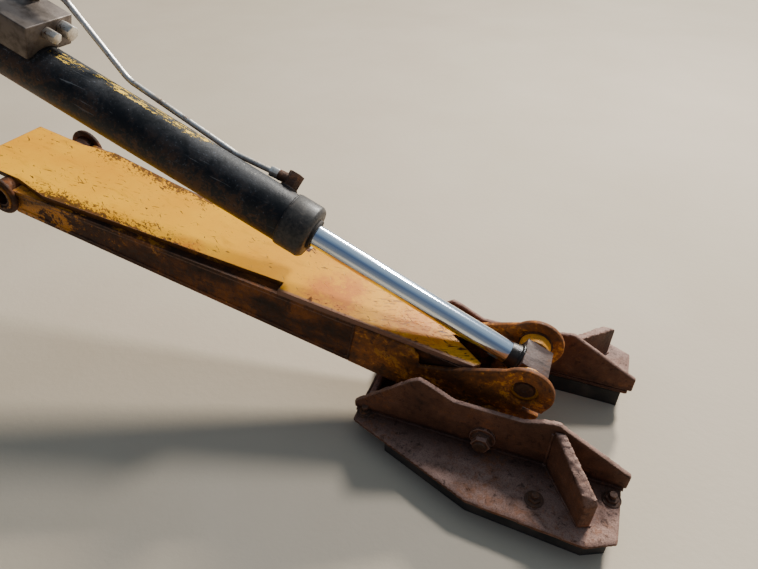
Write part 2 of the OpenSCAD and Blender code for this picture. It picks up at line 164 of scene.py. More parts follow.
def scratches(tree, coords, angles, stretch, scale, low, high):  # thin broken lines along one direction
    lines = noise(tree, turned(tree, coords, angles, stretch), scale, 3, 0.5, 0.6)
    return fit(tree, lines, low, high)


def parts(tree, vector):
    made = add(tree, "SeparateXYZ", {"Vector": vector})
    return made.outputs["X"], made.outputs["Y"], made.outputs["Z"]


def roundedNormal(tree, radius):
    return add(tree, "Bevel", {"Radius": radius}, samples=6).outputs["Normal"]


def edges(tree, radius, high):  # 1 where the shape has a sharp edge
    flat = add(tree, "NewGeometry").outputs["Normal"]
    dot = add(tree, "VectorMath", {0: roundedNormal(tree, radius), 1: flat}, operation="DOT_PRODUCT")
    return fit(tree, calc(tree, "SUBTRACT", 1.0, dot.outputs["Value"]), 0.01, high)


def spot(tree, coords, place, radius):
    away = add(tree, "VectorMath", {0: coords, 1: place}, operation="DISTANCE").outputs["Value"]
    return fit(tree, away, 0, radius, 1, 0)


def begin(name):
    material = bpy.data.materials.new(name)
    material.use_nodes = True
    tree = material.node_tree
    return material, tree, tree.nodes["Principled BSDF"], add(tree, "TexCoord").outputs["Object"]


def grains(tree, coords, look):  # four sizes of noise, each with its scale, detail, roughness and twist
    return [noise(tree, coords, *look[size]) for size in ("cloud", "blotch", "grain", "grit")]


def lookingUp(tree):  # 1 on level faces, 0 on upright ones
    return parts(tree, add(tree, "TexCoord").outputs["Normal"])[2]


def surface(tree, shader, height, depth, edgeRadius, strength=1.0):
    normal = roundedNormal(tree, edgeRadius)
    bump = add(tree, "Bump", {"Height": height, "Distance": depth, "Strength": strength, "Normal": normal})
    tree.links.new(bump.outputs["Normal"], shader.inputs["Normal"])


armEdge = {"rootHalf": 0.132, "taper": 0.0608}  # half the arm's width at the root, and what it loses per metre


def armPlace(tree, coords):  # along the arm, and distance in from its tapering edge
    turn = add(tree, "Mapping", {"Vector": coords, "Rotation": (0, -armFall, 0)})
    x, y = parts(tree, turn.outputs["Vector"])[:2]
    half = calc(tree, "SUBTRACT", armEdge["rootHalf"], times(tree, x, armEdge["taper"]))
    return x, calc(tree, "SUBTRACT", half, calc(tree, "ABSOLUTE", y))


def rodPlace(tree, coords):  # along the rod, sideways, and upwards from its axis
    moved = add(tree, "Mapping", {"Vector": coords, "Location": tuple(-rodPin)}).outputs["Vector"]
    x, y, z = parts(tree, add(tree, "Mapping", {"Vector": moved, "Rotation": rodSlant}).outputs["Vector"])
    return x, y, calc(tree, "MULTIPLY", z, -1.0)


rust = {"deep": (0.016, 0.007, 0.0035), "brown": (0.085, 0.032, 0.011), "orange": (0.26, 0.085, 0.014)}


# Yellow paint of the top plate, worn through along its edges

topLook = {
    "dark": (0.74, 0.30, 0.004), "light": (0.88, 0.415, 0.005), "dust": (0.88, 0.47, 0.02),
    "film": (0.42, 0.175, 0.006), "tarnish": (0.55, 0.20, 0.016), "stain": (0.60, 0.17, 0.016),
    "worn": (0.26, 0.135, 0.09), "side": (0.11, 0.042, 0.012), "specular": 0.14,
    "cloud": (3.2, 7, 0.62), "blotch": (19, 8, 0.7, 0.3), "grain": (110, 6, 0.66), "grit": (460, 3, 0.6),
    "bump": 0.0010, "rounding": 0.0015,
    "edgeRadius": 0.006, "bandWide": (0.034, 0.003),
    "edgeRun": (0.02, 0.52), "edgeFade": (0.08, 0.12), "edgeWide": (0.062, 0.012), "edgeHard": (0.03, 0.004),
    "tipRun": (0.78, 1.05), "rimRun": (0.66, 0.70), "rimWide": (0.0145, 0.0105),
    "spots": [(onArm(0.80, -0.035, 0.01), 0.10, 0.19), (onArm(1.02, -0.045, 0), 0.09, 0.10)],
    "stains": [(onArm(0.80, -0.030, 0.01), 0.085, 1.0), (onArm(0.83, 0.03, 0.01), 0.05, 0.6),
               (onArm(0.99, -0.045, 0), 0.10, 0.75), (onArm(0.46, -0.088, 0.02), 0.05, 0.8)],
}


def topPaint(name, look):
    material, tree, shader, coords = begin(name)
    x, inward = armPlace(tree, coords)
    cloud, blotch, grain, grit = grains(tree, coords, look)
    worn = edges(tree, look["edgeRadius"], 0.16)

    # paint, dust and a film of dirt
    colour = shades(tree, cloud, [(0.34, look["dark"]), (0.6, look["light"])])
    colour = blend(tree, fit(tree, blotch, 0.5, 0.8, 0, 0.4), colour, look["dust"])
    streak = noise(tree, turned(tree, coords, (0, 0, 0.06), (4, 22, 22)), 1.8, 6, 0.65, 0.5)
    colour = blend(tree, fit(tree, streak, 0.56, 0.74, 0, 0.5), colour, look["film"])

    # worn band along the edges and the two worn places
    band = fit(tree, inward, *look["bandWide"])
    wear = plus(tree, times(tree, blotch, 0.5), times(tree, grain, 0.5), times(tree, band, 0.17),
                times(tree, worn, 0.2))
    for place, radius, share in look["spots"]:
        wear = plus(tree, wear, times(tree, spot(tree, coords, place, radius), share))
    bare = fit(tree, wear, 0.735, 0.765)
    colour = blend(tree, fit(tree, wear, 0.57, 0.74, 0, 0.7), colour, look["tarnish"])

    # specks and scratches, with more scratches towards the tip
    atTip = fit(tree, x, *look["tipRun"])
    tipCuts = times(tree, atTip, scratches(tree, coords, (0.1, 0, -0.5), (7, 60, 60), 3.0, 0.575, 0.62))
    cuts = calc(tree, "MAXIMUM", scratches(tree, coords, (0, 0, 0.55), (5, 75, 75), 2.4, 0.655, 0.69),
                scratches(tree, coords, (0.2, 0, -0.25), (6, 95, 95), 2.0, 0.665, 0.70))
    cuts = times(tree, calc(tree, "MAXIMUM", cuts, tipCuts),
                 fit(tree, plus(tree, blotch, times(tree, atTip, 0.16)), 0.42, 0.56))
    specks = fit(tree, grain, 0.66, 0.70, 0, 0.8)
    colour = blend(tree, calc(tree, "MAXIMUM", specks, cuts), colour, rust["brown"])

    # rust stains round the worn places
    soaked = fit(tree, plus(tree, times(tree, blotch, 0.6), times(tree, grain, 0.4)), 0.40, 0.56)
    for place, radius, share in look["stains"]:
        soak = times(tree, spot(tree, coords, place, radius), soaked)
        colour = blend(tree, times(tree, fit(tree, soak, 0.02, 0.45), 0.8 * share), colour, look["stain"])

    # paint eaten off in small flakes along the first half of the edges
    start, end = look["edgeRun"]
    fadeIn, fadeOut = look["edgeFade"]
    run = times(tree, fit(tree, x, start, start + fadeIn), fit(tree, x, end, end - fadeOut),
                fit(tree, noise(tree, coords, 9, 4, 0.6), 0.3, 0.6, 0.3, 1))
    peppered = times(tree, run, fit(tree, inward, *look["edgeWide"]))
    pepper = noise(tree, turned(tree, coords, (0, 0, 0.5), (1, 1.8, 1.8)), 95, 7, 0.75)
    eaten = plus(tree, times(tree, pepper, 0.7), times(tree, blotch, 0.3), times(tree, peppered, 0.165),
                 times(tree, fit(tree, inward, *look["edgeHard"]), run, 0.06))
    eaten = times(tree, fit(tree, eaten, 0.585, 0.62), fit(tree, peppered, 0.02, 0.2))
    rusted = shades(tree, plus(tree, times(tree, grain, 0.7), times(tree, blotch, 0.3)),
                    [(0.38, rust["deep"]), (0.54, rust["brown"]), (0.7, rust["orange"])])
    colour = blend(tree, calc(tree, "MAXIMUM", bare, times(tree, eaten, 0.9)), colour, rusted)

    # rubbed edges, the plate's sides, and its brown rim towards the tip
    colour = blend(tree, times(tree, worn, fit(tree, cloud, 0.35, 0.5), 0.8), colour, look["worn"])
    sides = times(tree, fit(tree, lookingUp(tree), 0.7, 0.3), fit(tree, blotch, 0.62, 0.50, 0.25, 1))
    colour = blend(tree, sides, colour, look["side"])
    rim = times(tree, fit(tree, plus(tree, inward, times(tree, blotch, 0.012)), *look["rimWide"]),
                fit(tree, x, *look["rimRun"]))
    colour = blend(tree, times(tree, rim, 0.85), colour, look["worn"])
    tree.links.new(colour, shader.inputs["Base Color"])

    gloss = fit(tree, grain, 0.3, 0.7, 0.36, 0.52)
    tree.links.new(calc(tree, "MAXIMUM", gloss, times(tree, bare, 0.88)), shader.inputs["Roughness"])
    shader.inputs["Specular IOR Level"].default_value = look["specular"]
    height = plus(tree, times(tree, grit, bare), times(tree, cloud, 0.6), times(tree, bare, -0.5),
                  times(tree, cuts, -0.3), times(tree, grain, 0.12))
    surface(tree, shader, height, look["bump"], look["rounding"])
    return material


# Old paint gone to brown on the webs, the root and the fork

webLook = {
    "paint": (0.62, 0.225, 0.010), "orange": (0.22, 0.064, 0.008), "brown": (0.070, 0.022, 0.006),
    "deep": (0.026, 0.010, 0.005), "soot": (0.006, 0.004, 0.0025), "worn": (0.24, 0.13, 0.085),
    "paintAt": 0.60, "rootPaint": 0.15, "rootRun": (0.55, 0.05), "sootShare": 0.85,
    "cloud": (4.2, 7, 0.64, 0.3), "cloudStretch": (1, 2, 2.2), "blotch": (24, 8, 0.72, 0.4),
    "grain": (120, 6, 0.66), "grit": (430, 3, 0.6), "edgeRadius": 0.005, "specular": 0.3,
    "bump": 0.0011, "rounding": 0.0015,
}
forkLook = dict(webLook, paint=(0.82, 0.295, 0.020), orange=(0.56, 0.165, 0.016), brown=(0.22, 0.070, 0.012),
                deep=(0.045, 0.017, 0.007), paintAt=0.525, rootPaint=0, sootShare=0.45)
bossLook = dict(forkLook, paint=(0.90, 0.37, 0.03), paintAt=0.30, sootShare=0.1)
rootLook = dict(webLook, paintAt=0.62, rootPaint=0, sootShare=0.9)


def brownedPaint(name, look):
    material, tree, shader, coords = begin(name)
    alongArm = (0, -armFall, 0)
    blotch, grain, grit = grains(tree, coords, look)[1:]
    cloud = noise(tree, turned(tree, coords, alongArm, look["cloudStretch"]), *look["cloud"])
    worn = edges(tree, look["edgeRadius"], 0.18)

    tone = plus(tree, times(tree, cloud, 0.5), times(tree, blotch, 0.34), times(tree, grain, 0.16))
    colour = shades(tree, tone, [(0.40, look["deep"]), (0.485, look["brown"]), (0.565, look["orange"])])
    nearRoot = fit(tree, armPlace(tree, coords)[0], *look["rootRun"], 0, look["rootPaint"])
    left = plus(tree, times(tree, cloud, 0.35), times(tree, blotch, 0.4), times(tree, grain, 0.25), nearRoot,
                times(tree, worn, -0.06))
    paint = fit(tree, left, look["paintAt"], look["paintAt"] + 0.03)
    colour = blend(tree, paint, colour, look["paint"])

    soot = noise(tree, turned(tree, coords, alongArm, (1, 1, 2.5)), 6, 6, 0.6, 0.6)
    colour = blend(tree, fit(tree, soot, 0.50, 0.66, 0, look["sootShare"]), colour, look["soot"])
    flake = noise(tree, coords, 55, 8, 0.78, 0.5)
    colour = blend(tree, fit(tree, flake, 0.56, 0.59, 0, 0.75), colour, look["deep"])
    colour = blend(tree, fit(tree, grit, 0.45, 0.65, 0, 0.35), colour, look["deep"])
    colour = blend(tree, times(tree, worn, fit(tree, grain, 0.35, 0.5), 0.85), colour, look["worn"])
    tree.links.new(colour, shader.inputs["Base Color"])

    gloss = fit(tree, plus(tree, times(tree, paint, -0.3), grain), 0.2, 0.7, 0.45, 0.85)
    tree.links.new(gloss, shader.inputs["Roughness"])
    shader.inputs["Specular IOR Level"].default_value = look["specular"]
    height = plus(tree, times(tree, paint, 0.5), times(tree, grain, 0.8), times(tree, grit, 0.4),
                  times(tree, blotch, 0.5))
    surface(tree, shader, height, look["bump"], look["rounding"])
    return material


# Bare rusted plate of the pad, dusty where it looks up, with painted shadow in the corner by the flanges,
# where the flanges' shadow falls on the wings

# painted shadow of the flanges on the wings: its reach sideways from the pad's middle, and its height above
# the floor
paintedShadowBand = {"side": (0.2, 0.14), "aboveFloor": (0.072, 0.064)}
padLook = {
    "deep": (0.030, 0.010, 0.005), "body": (0.135, 0.052, 0.025), "light": (0.22, 0.105, 0.065),
    "dust": (0.42, 0.255, 0.195), "orange": (0.26, 0.080, 0.016), "dustShare": 0.75, "edgeShare": 0.6,
    "cloud": (5.5, 8, 0.66, 0.2), "blotch": (27, 7, 0.68, 0.3), "grain": (75, 6, 0.68), "grit": (400, 3, 0.6),
    "edgeRadius": 0.005, "specular": 0.3, "bump": 0.0015, "rounding": 0.0018,
}
pinLook = dict(padLook, deep=(0.016, 0.008, 0.005), body=(0.085, 0.036, 0.017), light=(0.17, 0.085, 0.05),
               dust=(0.20, 0.12, 0.085), orange=(0.24, 0.08, 0.018), dustShare=0.4, edgeShare=0.4)


def rustedPlate(name, look):
    material, tree, shader, coords = begin(name)
    cloud, blotch, pits, grit = grains(tree, coords, look)
    worn = edges(tree, look["edgeRadius"], 0.18)

    tone = plus(tree, times(tree, cloud, 0.55), times(tree, blotch, 0.3), times(tree, pits, 0.15))
    colour = shades(tree, tone, [(0.34, look["deep"]), (0.5, look["body"]), (0.66, look["light"])])
    side, high = parts(tree, coords)[1:]
    above = [floorHeight + height for height in paintedShadowBand["aboveFloor"]]
    # painted shadow: the base plate next to the flanges is made darker and less dusty, where the flanges'
    # shadow falls
    paintedShadow = times(tree, fit(tree, calc(tree, "ABSOLUTE", side), *paintedShadowBand["side"]), fit(tree, high, *above))
    dust = times(tree, fit(tree, lookingUp(tree), 0.3, 0.95), fit(tree, blotch, 0.3, 0.55, 0.35, 1),
                 look["dustShare"], fit(tree, paintedShadow, 0, 1, 1, 0.25))
    colour = blend(tree, dust, colour, look["dust"])
    # the painted shadow darkens the colour here
    colour = blend(tree, times(tree, paintedShadow, fit(tree, blotch, 0.35, 0.6, 0.35, 0.8)), colour, look["deep"])

    fresh = plus(tree, times(tree, cloud, 0.5), times(tree, pits, 0.5))
    colour = blend(tree, fit(tree, fresh, 0.52, 0.6, 0, 0.5), colour, look["orange"])
    flake = noise(tree, coords, 60, 7, 0.75, 0.5)
    colour = blend(tree, fit(tree, flake, 0.585, 0.61, 0, 0.55), colour, look["deep"])
    colour = blend(tree, fit(tree, grit, 0.44, 0.62, 0, 0.35), colour, look["deep"])
    colour = blend(tree, times(tree, worn, fit(tree, pits, 0.3, 0.5), look["edgeShare"]), colour, look["dust"])
    tree.links.new(colour, shader.inputs["Base Color"])

    tree.links.new(fit(tree, cloud, 0.3, 0.7, 0.6, 0.88), shader.inputs["Roughness"])
    shader.inputs["Specular IOR Level"].default_value = look["specular"]
    height = plus(tree, times(tree, pits, 1.4), times(tree, grit, 0.6), times(tree, blotch, 1.2),
                  times(tree, fit(tree, flake, 0.585, 0.61), -0.35))
    surface(tree, shader, height, look["bump"], look["rounding"])
    return material


# Black paint of the barrel, scuffed to old yellow along its top

barrelLook = {
    # the grey colour is a painted sheen for the top of the barrel
    "black": (0.0055, 0.0055, 0.006), "sheenGrey": (0.034, 0.035, 0.038), "grime": (0.095, 0.040, 0.014),
    "salt": (0.085, 0.092, 0.105), "fleck": (0.62, 0.58, 0.48), "oldPaint": (0.88, 0.55, 0.05),
    "bright": (0.42, 0.43, 0.45), "edge": (0.11, 0.055, 0.024), "oily": (0.075, 0.045, 0.028),
    "dusty": (0.075, 0.066, 0.056), "edgeRadius": 0.004, "specular": 0.3, "bump": 0.0009, "rounding": 0.0015,
    "cloud": (7, 7, 0.66), "blotch": (34, 7, 0.7, 0.3), "grain": (150, 5, 0.62), "grit": (520, 2, 0.6),
    "scuffs": [(0.80, 1.12, -0.006, 0.036), (1.11, 1.21, -0.014, 0.026)],  # along from, to, side from, to
    "scuffFade": (0.03, 0.008), "fleckRun": (0.66, 0.82), "fleckFade": 0.04,
    "topOf": (-0.01, 0.05), "lowerHalf": (0.052, 0.0), "saltFrom": (-0.03, 0.03),
    "oilyRun": (0.66, 0.60), "glandRun": (0.605, 0.598),
}


def blackPaint(name, look):
    material, tree, shader, coords = begin(name)
    along, side, up = rodPlace(tree, coords)
    cloud, blotch, grain, grit = grains(tree, coords, look)
    streak = noise(tree, turned(tree, coords, rodSlant, (14, 60, 60)), 1.6, 8, 0.74, 0.5)
    shape = noise(tree, turned(tree, coords, rodSlant, (45, 90, 90)), 1.7, 7, 0.8, 0.4)
    worn = edges(tree, look["edgeRadius"], 0.2)
    high = fit(tree, up, *look["topOf"])

    # painted sheen greying the top, brown grime below, and fine pale grains
    # painted sheen: the top of the barrel is greyed in patches, standing in for light glancing off it
    paintedSheen = fit(tree, plus(tree, times(tree, cloud, 0.6), times(tree, blotch, 0.4)), 0.42, 0.6)
    colour = blend(tree, times(tree, paintedSheen, high), look["black"], look["sheenGrey"])
    patchy = plus(tree, times(tree, cloud, 0.35), times(tree, blotch, 0.4), times(tree, grain, 0.25))
    low = times(tree, fit(tree, up, *look["lowerHalf"]), fit(tree, patchy, 0.47, 0.53))
    colour = blend(tree, times(tree, low, 0.85), colour, look["grime"])
    salt = plus(tree, times(tree, noise(tree, coords, 210, 6, 0.7), 0.75), times(tree, cloud, 0.25))
    salt = times(tree, fit(tree, salt, 0.555, 0.61), fit(tree, up, *look["saltFrom"]), 0.75)
    colour = blend(tree, salt, colour, look["salt"])

    # where the black is scuffed through
    scuff = 0.0
    endFade, sideFade = look["scuffFade"]
    for start, end, left, right in look["scuffs"]:
        field = times(tree, fit(tree, along, start, start + endFade), fit(tree, along, end, end - endFade),
                      fit(tree, side, left, left + sideFade), fit(tree, side, right, right - sideFade), high)
        scuff = plus(tree, field, scuff)
    flakes = plus(tree, times(tree, streak, 0.4), times(tree, shape, 0.6),
                  times(tree, calc(tree, "MINIMUM", scuff, 1.0), 0.11))
    chips = times(tree, fit(tree, flakes, 0.612, 0.628), fit(tree, scuff, 0.02, 0.2))
    start, end = look["fleckRun"]
    flecks = times(tree, fit(tree, along, start, start + look["fleckFade"]),
                   fit(tree, along, end, end - look["fleckFade"]), high,
                   fit(tree, side, -0.02, 0.0), fit(tree, shape, 0.635, 0.655))
    colour = blend(tree, flecks, colour, look["fleck"])
    stray = fit(tree, plus(tree, times(tree, blotch, 0.6), times(tree, grain, 0.4)), 0.645, 0.665)
    colour = blend(tree, times(tree, stray, high, 0.7), colour, look["bright"])
    colour = blend(tree, chips, colour, look["oldPaint"])
    slant = (rodSlant[0], rodSlant[1], 0.08)
    lines = times(tree, scratches(tree, coords, slant, (3, 85, 85), 2.2, 0.66, 0.70), high)
    colour = blend(tree, times(tree, lines, 0.35), colour, look["bright"])

    # rubbed edges, and the oil and dust about the gland
    colour = blend(tree, times(tree, worn, fit(tree, blotch, 0.35, 0.5)), colour, look["edge"])
    atGland = times(tree, fit(tree, along, *look["oilyRun"]), fit(tree, patchy, 0.50, 0.56))
    colour = blend(tree, times(tree, atGland, 0.7), colour, look["oily"])
    speckled = fit(tree, plus(tree, times(tree, cloud, 0.5), times(tree, grain, 0.5)), 0.36, 0.56, 0.25, 0.9)
    colour = blend(tree, times(tree, fit(tree, along, *look["glandRun"]), speckled), colour, look["dusty"])
    tree.links.new(colour, shader.inputs["Base Color"])

    gloss = fit(tree, plus(tree, times(tree, cloud, 0.5), times(tree, blotch, 0.5)), 0.35, 0.65, 0.36, 0.68)
    tree.links.new(gloss, shader.inputs["Roughness"])
    shader.inputs["Specular IOR Level"].default_value = look["specular"]
    height = plus(tree, times(tree, cloud, 1.2), times(tree, grain, 0.4), times(tree, blotch, 0.6),
                  times(tree, chips, -0.4), times(tree, grit, 0.1))
    surface(tree, shader, height, look["bump"], look["rounding"])
    return material


# Chrome, oily, plated and dark steel

plainSteel = {"stretch": (1, 1, 1), "scale": 30, "rustAt": 0.66, "rustShare": 0.8, "rounding": 0.0012,
              "bumpShare": 0.6}
steelLooks = {
    "chrome": {"colour": (0.80, 0.87, 0.95), "dark": (0.56, 0.63, 0.74), "rough": (0.10, 0.19), "bump": 0.0,
               "metal": 1.0, "stretch": (3, 60, 60), "scale": 1.6, "rustAt": 0.74, "rustShare": 0.2},
    "oilySteel": {"colour": (0.020, 0.016, 0.012), "dark": (0.06, 0.045, 0.03), "rough": (0.22, 0.55),
                  "bump": 0.0010, "metal": 0.3},
    "blockSteel": {"colour": (0.085, 0.044, 0.031), "dark": (0.035, 0.019, 0.014), "rough": (0.55, 0.8),
                   "bump": 0.0014, "metal": 0.05, "rustAt": 0.55, "stretch": (1, 3, 1), "scale": 26},
    "zincSteel": {"colour": (0.66, 0.63, 0.58), "dark": (0.30, 0.24, 0.18), "rough": (0.3, 0.55),
                  "bump": 0.0004, "metal": 0.85, "rustAt": 0.56},
    "valveSteel": {"colour": (0.15, 0.12, 0.10), "dark": (0.055, 0.040, 0.031), "rough": (0.4, 0.65),
                   "bump": 0.0005, "metal": 0.5, "rustAt": 0.62},
}


def steel(name, ownLook):
    look = {**plainSteel, **ownLook}
    material, tree, shader, coords = begin(name)
    film = noise(tree, turned(tree, coords, rodSlant, look["stretch"]), look["scale"], 6, 0.62)
    fine = noise(tree, coords, 260, 4, 0.6)
    colour = blend(tree, fit(tree, film, 0.42, 0.66), look["colour"], look["dark"])
    speckle = plus(tree, times(tree, noise(tree, coords, 45, 7, 0.7), 0.7), times(tree, fine, 0.3))
    spots = times(tree, fit(tree, speckle, look["rustAt"], look["rustAt"] + 0.03), look["rustShare"])
    tree.links.new(blend(tree, spots, colour, rust["brown"]), shader.inputs["Base Color"])
    sheen = fit(tree, plus(tree, times(tree, film, 0.7), times(tree, fine, 0.3)), 0.35, 0.65, *look["rough"])
    tree.links.new(calc(tree, "MAXIMUM", sheen, times(tree, spots, 0.8)), shader.inputs["Roughness"])
    shader.inputs["Metallic"].default_value = look["metal"]
    surface(tree, shader, fine, look["bump"], look["rounding"], look["bumpShare"])
    return material


rubberLook = {"black": (0.016, 0.015, 0.014), "dust": (0.09, 0.07, 0.055), "bump": 0.0006, "rounding": 0.002}


def blockRubber(name, look):
    material, tree, shader, coords = begin(name)
    dust = noise(tree, coords, 12, 7, 0.6)
    grain = noise(tree, coords, 220, 3, 0.6)
    colour = blend(tree, fit(tree, dust, 0.45, 0.8), look["black"], look["dust"])
    tree.links.new(colour, shader.inputs["Base Color"])
    tree.links.new(fit(tree, dust, 0.3, 0.7, 0.7, 0.9), shader.inputs["Roughness"])
    surface(tree, shader, grain, look["bump"], look["rounding"])
    return material


topPlatePaint = topPaint("topPlatePaint", topLook)
webPaint = brownedPaint("webPaint", webLook)
forkPaint = brownedPaint("forkPaint", forkLook)
bossPaint = brownedPaint("bossPaint", bossLook)
rootPaint = brownedPaint("rootPaint", rootLook)
padRust = rustedPlate("padRust", padLook)
pinRust = rustedPlate("pinRust", pinLook)
barrelPaint = blackPaint("barrelPaint", barrelLook)
steels = {name: steel(name, look) for name, look in steelLooks.items()}
rubber = blockRubber("blockRubber", rubberLook)

dress = {
    topPlatePaint: ["arm_top_plate"],
    webPaint: ["arm_side_rear", "arm_side_front", "arm_ledge_rear", "arm_ledge_front", "arm_bottom_plate",
               "fork_web_rear", "fork_web_front"],
    rootPaint: ["arm_root_tube", "arm_collar_rear", "arm_collar_front", "fork_cross_plate"],
    forkPaint: ["fork_plate_rear", "fork_plate_front", "pad_pivot_tube"],
    bossPaint: ["fork_boss_rear", "fork_boss_front"],
    padRust: ["pad_base_plate", "pad_flange_rear", "pad_flange_front", "pad_cross_web", "pad_rib_rear",
              "pad_rib_front", "pad_shaft"],
    pinRust: ["rod_pin", "elbow"],
    barrelPaint: ["barrel_tube", "gland_head", "base_cap", "base_eye", "head_port", "base_port"],
    steels["chrome"]: ["piston_rod"],
    steels["oilySteel"]: ["rod_neck"],
    steels["blockSteel"]: ["rod_eye"],
    steels["zincSteel"]: ["line_nut", "steel_line", "line_end_nut", "valve_fittings", "valve_elbow",
                          "base_line"],
    steels["valveSteel"]: ["valve_block"],
    rubber: ["rubber_rear", "rubber_front", "rubber_inner"],
}
for material, names in dress.items():
    for name in names:
        mesh = nodes[name].data
        mesh.materials.clear()
        mesh.materials.append(material)
print("materials made")


# Shaping by hand

cornerAngle = 0.6  # radians, above which an edge counts as a corner
mergeWithin = 0.00002


def clearSelection():
    for other in list(bpy.context.selected_objects):
        other.select_set(False)
    bpy.context.view_layer.objects.active = None


def only(piece):
    clearSelection()
    piece.select_set(True)
    bpy.context.view_layer.objects.active = piece


def choose(piece, kind, test):  # in edit mode, by place or normal
    bpy.context.tool_settings.mesh_select_mode = (kind == "verts", kind == "edges", kind == "faces")
    shape = bmesh.from_edit_mesh(piece.data)
    for group in (shape.faces, shape.edges, shape.verts):
        for element in group:
            element.select = False
    for element in getattr(shape, kind):
        if test(element):
            element.select_set(True)
    shape.select_flush_mode()
    bmesh.update_edit_mesh(piece.data)


def topFace(face):
    return face.normal.z > 0.9


def sideFace(face):
    return abs(face.normal.z) < 0.1


def apply(piece, kind, **settings):
    modifier = piece.modifiers.new(kind.lower(), kind)
    for key, value in settings.items():
        setattr(modifier, key, value)
    only(piece)
    bpy.ops.object.modifier_apply(modifier=modifier.name)


def easeEdges(piece, width, segments=2):
    apply(piece, "BEVEL", width=width, segments=segments, limit_method="ANGLE", angle_limit=cornerAngle)


def roughen(piece, strength, size, group="", depth=4):
    texture = bpy.data.textures.new(piece.name + "Rough", "CLOUDS")
    texture.noise_scale = size
    texture.noise_depth = depth
    apply(piece, "DISPLACE", texture=texture, texture_coords="LOCAL", strength=strength, mid_level=0.5,
          vertex_group=group)


def layAlong(piece, line, place):
    piece.rotation_mode = "QUATERNION"
    piece.rotation_quaternion = line.to_track_quat("Z", "Y")
    piece.location = place


def settle(piece):  # the mesh takes the place and the turn, the object goes to the origin
    only(piece)
    bpy.ops.object.transform_apply(location=True, rotation=True, scale=True)


def dressUp(piece, name, material, body, angle=cornerAngle):
    only(piece)
    bpy.ops.object.mode_set(mode="EDIT")
    bpy.ops.mesh.select_all(action="SELECT")
    bpy.ops.mesh.remove_doubles(threshold=mergeWithin)
    bpy.ops.mesh.normals_make_consistent(inside=False)
    bpy.ops.object.mode_set(mode="OBJECT")
    settle(piece)
    bpy.ops.object.shade_smooth_by_angle(angle=angle)
    piece.name = piece.data.name = name
    piece.data.materials.clear()
    piece.data.materials.append(material)
    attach(piece, body)
    return piece


def copyOf(piece, matrix):
    made = bpy.data.objects.new(piece.name, piece.data.copy())
    bpy.context.scene.collection.objects.link(made)
    made.matrix_world = matrix @ piece.matrix_world
    return made


def joined(pieces):
    only(pieces[0])
    for piece in pieces[1:]:
        piece.select_set(True)
    if len(pieces) > 1:
        bpy.ops.object.join()
    return bpy.context.view_layer.objects.active


def drop(piece):
    bpy.data.objects.remove(piece, do_unlink=True)


# Worn plates and fittings in place of the CAD's sharp ones

bodyOf = {name: body for body, names in frame["record"]["behaviour"]["bodies"].items() for name in names}


def worn(nodeName, bevel, voxel=0.0, wave=0.0, size=0.05, rag=None):
    piece = bpy.data.objects.new(nodeName, nodes[nodeName].data.copy())
    bpy.context.scene.collection.objects.link(piece)
    only(piece)
    bpy.ops.object.mode_set(mode="EDIT")
    bpy.ops.mesh.select_all(action="SELECT")
    bpy.ops.mesh.remove_doubles(threshold=mergeWithin)
    bpy.ops.mesh.dissolve_limited(angle_limit=0.02)
    bpy.ops.object.mode_set(mode="OBJECT")
    easeEdges(piece, bevel)
    if voxel:
        apply(piece, "REMESH", mode="VOXEL", voxel_size=voxel)
        apply(piece, "SMOOTH", factor=0.5, iterations=1)
    if rag:
        group = piece.vertex_groups.new(name="rag")
        group.add([v.index for v in piece.data.vertices if rag["where"](v.co)], 1, "REPLACE")
        roughen(piece, rag["strength"], rag["size"], "rag", 3)
    if wave:
        roughen(piece, wave, size)
    dressUp(piece, nodeName + "Worn", nodes[nodeName].data.materials[0], bodyOf[nodeName])
    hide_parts(nodeName)
    return piece


plateWear = {
    "fork_plate_rear": 0.0028, "fork_plate_front": 0.0028, "fork_cross_plate": 0.0016,
    "arm_collar_rear": 0.003, "arm_collar_front": 0.003, "rod_eye": 0.004, "gland_head": 0.0022,
    "valve_block": 0.0025, "base_eye": 0.004, "elbow": 0.0035, "valve_elbow": 0.0035,
    "valve_fittings": 0.0012, "line_nut": 0.0012, "line_end_nut": 0.0012,
}
elbowWave = {"wave": 0.0015, "size": 0.01}
for name, bevel in plateWear.items():
    worn(name, bevel, **(elbowWave if name == "elbow" else {}))

padWear = {
    "rib": {"bevel": 0.004, "voxel": 0.0032, "wave": 0.0016, "size": 0.05},
    "flange": {"bevel": 0.003, "voxel": 0.0032, "wave": 0.0016, "size": 0.06},
    "base": {"bevel": 0.003, "voxel": 0.0042, "wave": 0.0022, "size": 0.07},
    "crossWeb": {"bevel": 0.003},
}
ribTop = {"high": 0.082, "fall": 0.030, "start": 0.140, "long": 0.110, "ragged": 0.006}


def onRibTop(co):
    fallen = ribTop["fall"] * (abs(co.y) - ribTop["start"]) / ribTop["long"]
    return co.z - padPivot.z > ribTop["high"] - fallen - ribTop["ragged"]


ragLook = {"strength": 0.0055, "size": 0.008, "where": onRibTop}
for side in ("rear", "front"):
    worn("pad_rib_" + side, rag=ragLook, **padWear["rib"])
    worn("pad_flange_" + side, **padWear["flange"])
worn("pad_base_plate", **padWear["base"])
worn("pad_cross_web", **padWear["crossWeb"])
print("worn plates made")


# Bolts through the wings, and the pad's shaft ends

